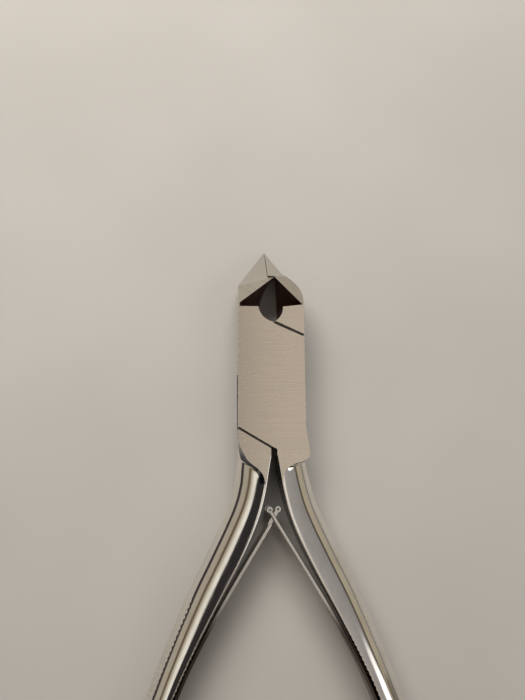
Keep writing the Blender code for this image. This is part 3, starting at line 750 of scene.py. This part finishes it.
def make_handle(name, faces, widths, root, face_side, flare, painted_shade_beyond, mirror, tree, steels):
    """A notched handle, coated with the finish of each side of its sections."""
    rings, places = handle_rings(faces, widths, root, face_side, flare)
    if mirror:
        rings = [mirrored(points) for points in rings]
    piece = loft(name, rings, round_ends=True)
    upper = upper_profile(HANDLE_STRIP, widths[-2][1] * MM, 0.0)
    ring_points = upper + [(reach, -height) for reach, height in upper[-2:0:-1]]
    cut_notches(piece, places, ring_points, tree, steels["polished"])
    coat(piece, steels, "polished")
    polygons = iter(piece.data.polygons)
    # where the face is wider than the limit, the scoop gets the near-black painted shade
    for _, face in places[:-1]:
        for finish in finish_round_section(upper, "scoop" if face > painted_shade_beyond else "polished"):
            next(polygons).material_index = FINISHES.index(finish)
    return piece


# ------------------------------ box and jaws

def bowed(start, end, bulge):
    """A curve that stands out to the right of the way from start to end."""
    side = Vector((end.y - start.y, start.x - end.x)) * bulge
    return bend(start, (start + end) / 2 + side * 2, end)


def hollow():
    """The space between the jaws: an arch at the front that narrows to an eye at the back."""
    bottom = Vector((0.0, EYE_BOTTOM))
    peak = Vector((HEEL.x, HEEL.y - ARCH_DROP))
    shares = [step / BEND_STEPS for step in range(BEND_STEPS + 1)]
    front = bowed(bottom, Vector((EYE_RIGHT, BLOCK_ABOVE)), EYE_BULGE)
    front += [ARCH_RIGHT.xy.lerp(peak, share) for share in shares]
    front += [peak.lerp(ARCH_LEFT.xy, share) for share in shares[1:]]
    front += [Vector((ARCH_LEFT.x, BLOCK_ABOVE))]
    front += bowed(Vector((-EYE_LEFT, BLOCK_ABOVE)), bottom, EYE_BULGE)[:-1]
    right = Vector((EYE_RIGHT * EYE_BACK, BLOCK_ABOVE))
    left = Vector((-EYE_LEFT * EYE_BACK, BLOCK_ABOVE))
    rise = Vector((0.0, ARCH_LEFT.y - BLOCK_ABOVE))
    back = bowed(bottom, right, EYE_BULGE)
    back += bend(right + rise, right + LENS_RIGHT * rise, LENS_TOP)
    back += bend(LENS_TOP, left + LENS_LEFT * rise, left + rise)[1:]
    back += [left + rise / 2]
    back += bowed(left, bottom, EYE_BULGE)[:-1]
    sections = []
    for level in range(-HOLLOW_PAST, HOLLOW_LEVELS + HOLLOW_PAST + 1):
        share = level / HOLLOW_LEVELS
        points = [far.lerp(near, share) for near, far in zip(front, back)]
        sections.append([(point.x, point.y, share * THICKNESS) for point in points])
    return loft("hollow", sections)


def left_jaw_outline():
    half = JAW_GAP / 2
    return [(HEEL.x - HEEL_CLEAR, HEEL.y - half), (HEEL_SIDE.x - half, HEEL_SIDE.y - half),
            (TIP.x - half, TIP.y), (SHOULDER.x, SHOULDER.y)]


def right_jaw_outline():
    half = JAW_GAP / 2
    start = Vector((BLOCK_RIGHT, BLOCK_ABOVE + CHEEK_START))
    cheek = bend(start, Vector((BLOCK_RIGHT, CHEEK.y)), CROWN.xy, CORNER_STEPS)
    return cheek + [(TIP.x + half, TIP.y), (HEEL_SIDE.x + half, HEEL_SIDE.y + half),
                    (HEEL.x + half, HEEL.y + half)]


def outer_outline():
    half = PARTING_GAP / 2
    level = half - LOWER_PARTING_MID
    corner = Vector((HANDLE_START, level))
    rounded = bend(Vector((0.0, level)), corner, corner - Vector((0.0, CORNER_ROUND)), CORNER_STEPS)
    lap = HANDLE_START + ROOT_LAP
    top = ROOT_RIGHT - ROOT_LAP - BLOCK_BELOW
    return left_jaw_outline() + [(-BLOCK_LEFT, half - LOWER_PARTING_SIDE)] + rounded + [
        (HANDLE_START, -BLOCK_BELOW), (lap, -BLOCK_BELOW), (lap, top), (BLOCK_RIGHT, top),
        (BLOCK_RIGHT, UPPER_PARTING_SIDE - half), (0.0, EYE_BOTTOM - half)]


def web_outline():
    right = BLOCK_RIGHT - EDGE
    left = EDGE - BLOCK_LEFT
    return ([(CROWN.x, EYE_BOTTOM + 2 * WEB_OVERLAP), (right, UPPER_PARTING_SIDE + WEB_OVERLAP),
             (right, WEB_SHOULDER)]
            + arc(WEB_RADIUS, WEB_RIGHT_TURN)
            + [(-PARTING_GAP, -LOWER_PARTING_MID), (-HANDLE_START - EDGE, -BLOCK_BELOW),
               (left, -LOWER_PARTING_SIDE - WEB_OVERLAP), (left, -WEB_SHOULDER)]
            + arc(WEB_RADIUS, WEB_LEFT_TURN)
            + [(WEB_CLEARANCE, EYE_BOTTOM + WEB_CLEARANCE)])


def slot_outline():
    radius = WEB_RADIUS + WEB_CLEARANCE
    right = BLOCK_RIGHT + FLARE + PAST
    left = -BLOCK_LEFT - PAST
    return ([(0.0, EYE_BOTTOM + WEB_OVERLAP), (right, EYE_BOTTOM + WEB_OVERLAP),
             (right, -WEB_SHOULDER / 2)]
            + arc(radius, SLOT_RIGHT_TURN)
            + [(WEB_CLEARANCE, -LOWER_PARTING_MID), (WEB_CLEARANCE, -BLOCK_BELOW - PAST),
               (left, -BLOCK_BELOW - PAST), (left, WEB_SHOULDER / 2)]
            + arc(radius, SLOT_LEFT_TURN)
            + [(0.0, EYE_BOTTOM)])


def pin_bore(name, radius, top):
    return turned(name, [(0.0, -PAST), (radius, -PAST), (radius, top), (0.0, top)])


def screw_hole(side):
    radius = SCREW_SHANK + SCREW_HOLE_FIT
    low = -(SPRING_THICK / 2 + SEAT_GAP + SCREW_DEPTH + SCREW_HOLE_FIT)
    hole = turned("screw_hole", [(0.0, low), (radius, low), (radius, 0.0), (0.0, 0.0)])
    hole.data.transform(along_screw(side))
    return hole


def cut(half, cutter, steels, finish):
    """Takes the cutter away from the half; the cut faces get the finish."""
    return combine(half, coat(cutter, steels, finish), "DIFFERENCE")


def ground_jaw(name, outline, facet, band, steels):
    """A jaw and what is forged with it: two facets, the hollow, and broken edges."""
    jaw = coat(slab(name, outline, 0.0, THICKNESS), steels, "edge", "face")
    cut(jaw, slab_above("facet", facet), steels, "facet")
    cut(jaw, slab_above("band", band), steels, "band")
    cut(jaw, hollow(), steels, "hollow")
    return break_edges(jaw)


def make_outer_half(tree, steels):
    """The left jaw, the two plates of the box joint and the right handle."""
    half = ground_jaw("outer_half_steel", outer_outline(), (TIP, HEEL_SIDE, SHOULDER),
                      (HEEL, ARCH_LEFT, SHOULDER), steels)
    handle = make_handle("right_handle", RIGHT_FACE, RIGHT_WIDTHS, ROOT_RIGHT, BLOCK_RIGHT,
                         FLARE, RIGHT_SCOOP, False, tree, steels)
    combine(half, handle, "UNION")
    room = WEB_THICK / 2 + WEB_CLEARANCE
    cut(half, slab("slot", slot_outline(), MIDDLE_Z - room, MIDDLE_Z + room), steels, "inner")
    cut(half, pin_bore("bore", PIN_RADIUS + PIN_FIT, PIN_TOP + PIN_FIT), steels, "hollow")
    cut(half, screw_hole(1.0), steels, "hollow")
    return half


def make_inner_half(tree, steels):
    """The right jaw, the web inside the box joint and the left handle."""
    half_gap = PARTING_GAP / 2
    outline = right_jaw_outline() + [(HEEL.x, EYE_BOTTOM + half_gap),
                                     (BLOCK_RIGHT, UPPER_PARTING_SIDE + half_gap)]
    half = ground_jaw("inner_half_steel", outline, (TIP, HEEL, CROWN),
                      (HEEL, ARCH_RIGHT, CHEEK), steels)
    handle = make_handle("left_handle", LEFT_FACE, LEFT_WIDTHS, ROOT_LEFT, BLOCK_LEFT,
                         0.0, LEFT_SCOOP, True, tree, steels)
    side = -LOWER_PARTING_SIDE - half_gap
    middle = -LOWER_PARTING_MID - half_gap
    slope = (side - middle) / BLOCK_LEFT
    above = [(-BLOCK_LEFT - PAST, side + slope * PAST), (0.0, middle), (PAST, middle),
             (PAST, 0.0), (-BLOCK_LEFT - PAST, 0.0)]
    cut(handle, slab("above_parting", above, -PAST, THICKNESS + PAST), steels, "inner")
    web = slab("web", web_outline(), MIDDLE_Z - WEB_THICK / 2, MIDDLE_Z + WEB_THICK / 2)
    combine(half, coat(web, steels, "inner"), "UNION")
    combine(half, handle, "UNION")
    cut(half, pin_bore("bore", PIN_RADIUS + PIN_WEB_FIT, THICKNESS), steels, "hollow")
    cut(half, screw_hole(-1.0), steels, "hollow")
    return half


# ------------------------------ springs and screws

def screw_place(side):
    out = outward(SCREW_PLACE)
    seat = inner_side(SCREW_PLACE) - out * (SEAT_GAP + SPRING_THICK / 2)
    return Vector((side * seat.x, seat.y, MIDDLE_Z)), Vector((side * out.x, out.y, 0.0))


def along_screw(side):
    place, out = screw_place(side)
    return Matrix.Translation(place) @ (-out).to_track_quat("Z", "Y").to_matrix().to_4x4()


def spring_line():
    """The right spring's middle line, from its tail along its handle and across to its tip."""
    offset = SEAT_GAP + SPRING_THICK / 2
    points = []
    seat_steps = 12
    for step in range(seat_steps + 1):
        below = SPRING_TAIL + (SPRING_SEAT - SPRING_TAIL) * step / seat_steps
        points.append(inner_side(below) - outward(below) * offset)
    start = points[-1]
    crossing = Vector((0.0, -BLOCK_BELOW - SPRING_CROSSING))
    heading = Vector((-math.sin(SPRING_ANGLE), math.cos(SPRING_ANGLE)))
    tip = crossing + heading * SPRING_PAST
    reach = (tip - start).length
    first = -towards_end(SPRING_SEAT) * reach
    last = heading * reach
    steps = 64
    for step in range(1, steps + 1):
        t = step / steps
        points.append(
            start * (2 * t**3 - 3 * t**2 + 1)
            + first * (t**3 - 2 * t**2 + t)
            + tip * (3 * t**2 - 2 * t**3)
            + last * (t**3 - t**2)
        )
    return points


def leaf_section(centre, across, half_thick, half_width, edge):
    """A rounded rectangle across the leaf."""
    points = []
    for corner, (side_x, side_z) in enumerate(((1, 1), (-1, 1), (-1, -1), (1, -1))):
        for step in range(WALL_STEPS + 1):
            angle = math.radians(90.0 * corner + 90.0 * step / WALL_STEPS)
            reach = side_x * (half_thick - edge) + edge * math.cos(angle)
            height = side_z * (half_width - edge) + edge * math.sin(angle)
            points.append((centre.x + across.x * reach, centre.y + across.y * reach,
                           MIDDLE_Z + height))
    return points


def make_leaf(name, side):
    """A leaf with rounded ends, a rolled tip and a hole for its screw."""
    line = spring_line()
    total = len(line) - 1
    half_thick = SPRING_THICK / 2
    half_width = SPRING_WIDTH / 2
    sections = []
    for index, point in enumerate(line):
        along = (line[min(index + 1, total)] - line[max(index - 1, 0)]).normalized()
        across = Vector((-along.y, along.x))
        if 0 < index < total:
            sections.append(leaf_section(point, across, half_thick, half_width, LEAF_EDGE))
            continue
        inset = point + along * (LEAF_EDGE if index == 0 else -LEAF_EDGE)
        pair = [leaf_section(point, across, half_thick - LEAF_EDGE, half_width - LEAF_EDGE,
                             LEAF_CORNER),
                leaf_section(inset, across, half_thick, half_width, LEAF_EDGE)]
        sections += pair if index == 0 else pair[::-1]
    if side < 0:
        sections = [mirrored(points) for points in sections]
    leaf = loft(name, sections, round_ends=True)
    half_roll = half_width - ROOT_SETBACK
    roll = turned("roll", [(0.0, -half_roll), (ROLL_RADIUS, -half_roll),
                           (ROLL_RADIUS, half_roll), (0.0, half_roll)], ROLL_STEPS)
    roll.data.transform(Matrix.Translation((side * line[-1].x, line[-1].y, MIDDLE_Z)))
    combine(leaf, roll, "UNION")
    radius = SCREW_SHANK + LEAF_HOLE_FIT
    hole = turned("leaf_hole", [(0.0, -PAST), (radius, -PAST), (radius, PAST), (0.0, PAST)])
    hole.data.transform(along_screw(side))
    return combine(leaf, hole, "DIFFERENCE")


def bore_eye(leaf, side):
    """The hole through the rolled tip."""
    tip = spring_line()[-1]
    eye = turned("eye", [(0.0, -SPRING_WIDTH), (ROLL_EYE, -SPRING_WIDTH),
                         (ROLL_EYE, SPRING_WIDTH), (0.0, SPRING_WIDTH)], EYE_STEPS)
    eye.data.transform(Matrix.Translation((side * tip.x, tip.y, MIDDLE_Z)))
    return combine(leaf, eye, "DIFFERENCE")


def make_fork(name):
    leaf = make_leaf(name, 1.0)
    half = TONGUE_WIDTH / 2 + FORK_CLEARANCE
    crossing = -BLOCK_BELOW - SPRING_CROSSING
    slot = block("fork_slot", (-HANDLE_SPREAD, crossing - FORK_ROOT, MIDDLE_Z - half),
                 (HANDLE_SPREAD, -BLOCK_BELOW, MIDDLE_Z + half))
    combine(leaf, slot, "DIFFERENCE")
    return bore_eye(leaf, 1.0)


def make_tongue(name):
    leaf = make_leaf(name, -1.0)
    low = -BLOCK_BELOW - SPRING_CROSSING - TONGUE_SHOULDER
    for near, far in ((TONGUE_WIDTH / 2, SPRING_WIDTH), (-SPRING_WIDTH, -TONGUE_WIDTH / 2)):
        side = block("tongue_side", (-HANDLE_SPREAD, low, MIDDLE_Z + near),
                     (HANDLE_SPREAD, -BLOCK_BELOW, MIDDLE_Z + far))
        combine(leaf, side, "DIFFERENCE")
    return bore_eye(leaf, -1.0)


def make_screw(name, side):
    base = SPRING_THICK / 2 + SCREW_HEAD_LIFT
    top = base + SCREW_HEAD_HEIGHT
    foot = -(SPRING_THICK / 2 + SEAT_GAP + SCREW_DEPTH)
    crown = [(0.0, top)]
    for step in range(1, CROWN_STEPS):
        share = step / CROWN_STEPS
        crown.append((SCREW_HEAD_RADIUS * CROWN_SHARE * share, top - CROWN_DROP * share**2))
    rim = [(SCREW_HEAD_RADIUS * RIM_SHARE, top - RIM_TOP),
           (SCREW_HEAD_RADIUS, top - RIM_BOTTOM),
           (SCREW_HEAD_RADIUS, base + SCREW_HEAD_EDGE),
           (SCREW_HEAD_RADIUS - SCREW_HEAD_EDGE, base)]
    shank = [(SCREW_SHANK, base), (SCREW_SHANK, foot + SCREW_POINT),
             (SCREW_SHANK - SCREW_POINT, foot), (0.0, foot)]
    screw = turned(name, crown + rim + shank)
    half_length = SCREW_HEAD_RADIUS + PAST
    slot = block("screw_slot", (-SCREW_SLOT / 2, -half_length, top - SCREW_SLOT),
                 (SCREW_SLOT / 2, half_length, top + PAST))
    combine(screw, slot, "DIFFERENCE")
    screw.data.transform(along_screw(side))
    return screw


def make_pin():
    profile = [(0.0, 0.0), (PIN_RADIUS - PIN_EDGE, 0.0), (PIN_RADIUS, PIN_EDGE),
               (PIN_RADIUS, PIN_TOP), (0.0, PIN_TOP)]
    return turned("pivot_pin_steel", profile, PIN_STEPS)


# ------------------------------ floor and light

def make_floor():
    bm = bmesh.new()
    bmesh.ops.create_grid(bm, x_segments=1, y_segments=1, size=FLOOR_SIZE)
    floor = mesh_piece("floor", bm)
    floor.data.transform(Matrix.Translation((0.0, 0.0, -FLOOR_DROP)))
    material, nodes, shader = new_material("pale_table")
    cloud = nodes.noise(nodes.stretched(0.0, FLOOR_CLOUDS), 2.0)
    light = grey(0.43, 0.41, 0.385)
    dark = grey(0.405, 0.385, 0.36)
    nodes.feed(shader.inputs["Base Color"], nodes.mix(nodes.span(cloud, 0.3, 0.7), dark, light))
    shader.inputs["Roughness"].default_value = 0.55
    floor.data.materials.append(material)


# What the room shows from left to right overhead, in degrees from straight up: a pale wall with a
# shelf, a window, a dark ceiling panel, a strip light, the pale ceiling, a beam and a warm wall
ROOM = (
    (-90, (0.05, 0.04, 0.04)), (-77, (0.05, 0.04, 0.04)), (-71, (0.42, 0.37, 0.30)),
    (-52, (0.38, 0.34, 0.27)), (-49, (0.13, 0.09, 0.06)), (-45, (0.12, 0.08, 0.05)),
    (-42, (0.30, 0.25, 0.18)), (-35, (0.62, 0.58, 0.48)), (-30, (0.85, 0.82, 0.74)),
    (-24, (0.85, 0.82, 0.74)), (-21, (0.03, 0.028, 0.03)), (2, (0.03, 0.025, 0.025)),
    (3, (0.95, 0.90, 0.83)), (8, (0.95, 0.90, 0.83)), (11, (0.36, 0.345, 0.33)),
    (50, (0.27, 0.26, 0.25)), (53, (0.08, 0.065, 0.05)), (56, (0.08, 0.065, 0.05)),
    (60, (0.42, 0.37, 0.27)), (75, (0.40, 0.35, 0.27)), (84, (0.32, 0.30, 0.26)),
    (90, (0.12, 0.11, 0.10)),
)
ROOM_SCALE = 2.0                # the ramp holds colours up to 1


def make_world():
    """A soft room whose walls, window and ceiling run alongside the tool."""
    world = bpy.data.worlds.new("studio")
    bpy.context.scene.world = world
    world.use_nodes = True
    nodes = Nodes(world.node_tree)
    ray = nodes.add("ShaderNodeTexCoord").outputs["Generated"]
    parts = nodes.add("ShaderNodeSeparateXYZ", {"Vector": ray}).outputs
    across = nodes.math("ARCTAN2", parts["X"], parts["Z"])
    share = nodes.math("ADD", nodes.math("DIVIDE", across, math.pi), 0.5)
    ramp = nodes.add("ShaderNodeValToRGB", {"Fac": share})
    stops = ramp.color_ramp.elements
    while len(stops) > 1:
        stops.remove(stops[-1])
    for index, (angle, colour) in enumerate(ROOM):
        stop = stops[0] if index == 0 else stops.new(angle / 180.0 + 0.5)
        stop.position = angle / 180.0 + 0.5
        stop.color = (*[value / ROOM_SCALE for value in colour], 1.0)

    # beyond the tip, and towards the camera's side, the room is even
    colour = ramp.outputs["Color"]
    far = nodes.span(parts["Y"], *FAR_WALL)
    colour = nodes.mix(far, colour, grey(0.34, 0.33, 0.31))
    nearer = nodes.math("MULTIPLY", parts["Y"], -1.0)
    near = nodes.span(nearer, *NEAR_WALL)
    colour = nodes.mix(near, colour, grey(0.16, 0.14, 0.13))
    # a dark wall low on the right, then the lamp
    low_right = nodes.span(share, *LOW_RIGHT)
    dark_wall = nodes.math("MULTIPLY", low_right, nodes.span(nearer, *HANDLE_SIDE))
    colour = nodes.mix(dark_wall, colour, grey(0.02, 0.015, 0.015))
    towards_lamp = nodes.add("ShaderNodeVectorMath", operation="DOT_PRODUCT")
    nodes.feed(towards_lamp.inputs[0], ray)
    nodes.feed(towards_lamp.inputs[1], LAMP)
    lamp = nodes.span(towards_lamp.outputs["Value"], math.cos(LAMP_EDGE), math.cos(LAMP_FULL))
    colour = nodes.mix(lamp, colour, grey(1.0, 0.98, 0.95))
    background = nodes.tree.nodes["Background"].inputs
    background["Strength"].default_value = ROOM_SCALE
    nodes.feed(background["Color"], colour)


def make_key():
    """A broad soft light from above the tip; the steel mirrors the room instead of it."""
    data = bpy.data.lights.new("key", "AREA")
    data.shape = "RECTANGLE"
    data.size = 0.30
    data.size_y = 0.14
    data.energy = 1.15
    data.color = (1.0, 0.975, 0.93)
    key = bpy.data.objects.new("key", data)
    bpy.context.scene.collection.objects.link(key)
    aim = KEY_PLACE.to_track_quat("Z", "Y").to_matrix().to_4x4()
    key.matrix_world = Matrix.Translation(KEY_PLACE) @ aim
    key.visible_glossy = False


# ------------------------------ the part

def make_steels():
    light = grey(0.88, 0.77, 0.645)
    dark = grey(0.82, 0.715, 0.60)
    return {
        "face": ground_steel("ground_face", light, dark, 0.27, 0.0, 0.0004 * MM),
        # the facet's and band's steels are darker copies of the face's steel: real grain, with painted
        # shade of the sloping sides of the jaws
        "facet": ground_steel("ground_facet_painted_shade", grey(0.68, 0.645, 0.59), grey(0.61, 0.57, 0.52),
                              0.30, math.radians(-52.0), 0.001 * MM),
        "band": ground_steel("ground_band_painted_shade", grey(0.62, 0.56, 0.48), grey(0.50, 0.445, 0.37),
                             0.32, math.radians(38.0), 0.002 * MM),
        # the hollow's dark maroon steel, also in the bores and screw holes, is painted shade of the
        # recesses
        "hollow": ground_steel("painted_shade_hollow", grey(0.34, 0.19, 0.155), grey(0.16, 0.085, 0.07),
                               0.42, math.radians(90.0), 0.01 * MM),
        # the scoop's near-black steel is painted shade beside the handle's face
        "scoop": polished_steel("painted_shade_scoop", grey(0.10, 0.10, 0.12), grey(0.05, 0.04, 0.05), 0.12),
        "polished": polished_steel("polished_handle", grey(0.86, 0.83, 0.79),
                                   grey(0.78, 0.75, 0.70), 0.04),
        "edge": polished_steel("bright_edge", grey(0.88, 0.86, 0.83), grey(0.76, 0.73, 0.7), 0.10),
        # the springs get painted shadow towards their seats
        "spring": ground_steel("spring_steel", grey(0.80, 0.77, 0.72), grey(0.62, 0.58, 0.54),
                               0.24, math.radians(60.0), 0.001 * MM, PAINTED_SHADE_PLACE),
        "screw": polished_steel("screw_steel", grey(0.80, 0.78, 0.75), grey(0.68, 0.66, 0.63), 0.12),
        # the near-black steel of the inner walls, the slot and the web is painted shade between the
        # parts
        "inner": ground_steel("painted_shade_inside", grey(0.17, 0.155, 0.14), grey(0.11, 0.10, 0.09),
                              0.26, 0.0, 0.001 * MM),
        "pin": ground_steel("ground_pin", light, dark, 0.3, math.radians(20.0), 0.004 * MM),
    }


def place_halves(steels):
    tree = notch_tree()
    outer = make_outer_half(tree, steels)
    inner = make_inner_half(tree, steels)
    for half in (outer, inner):
        shade(half)
    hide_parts("outer_half")
    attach(outer, "outer")
    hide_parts("inner_half")
    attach(inner, "inner")


def place_pin(steels):
    pin = make_pin()
    pin.data.materials.append(steels["pin"])
    shade(pin)
    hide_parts("pivot_pin")
    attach(pin, "outer")


def place_springs(steels):
    for piece, node, handle, body, side in (
            (make_fork("fork_spring_leaf"), "fork_spring", "outer", "fork_leaf", 1.0),
            (make_tongue("tongue_spring_leaf"), "tongue_spring", "inner", "tongue_leaf", -1.0)):
        piece.data.materials.clear()
        piece.data.materials.append(steels["spring"])
        shade(piece)
        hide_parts(node)
        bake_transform(piece)


def place_screws(steels):
    for name, node, body, side in (
            ("fork_screw", "fork_spring_screw", "outer", 1.0),
            ("tongue_screw", "tongue_spring_screw", "inner", -1.0)):
        screw = make_screw(name, side)
        screw.data.materials.append(steels["screw"])
        shade(screw)
        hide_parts(node)
        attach(screw, body)


def main():
    make_camera()
    make_floor()
    make_world()
    make_key()
    bpy.context.scene.view_settings.view_transform = "Standard"
    steels = make_steels()
    place_halves(steels)
    place_pin(steels)
    place_springs(steels)
    place_screws(steels)


main()
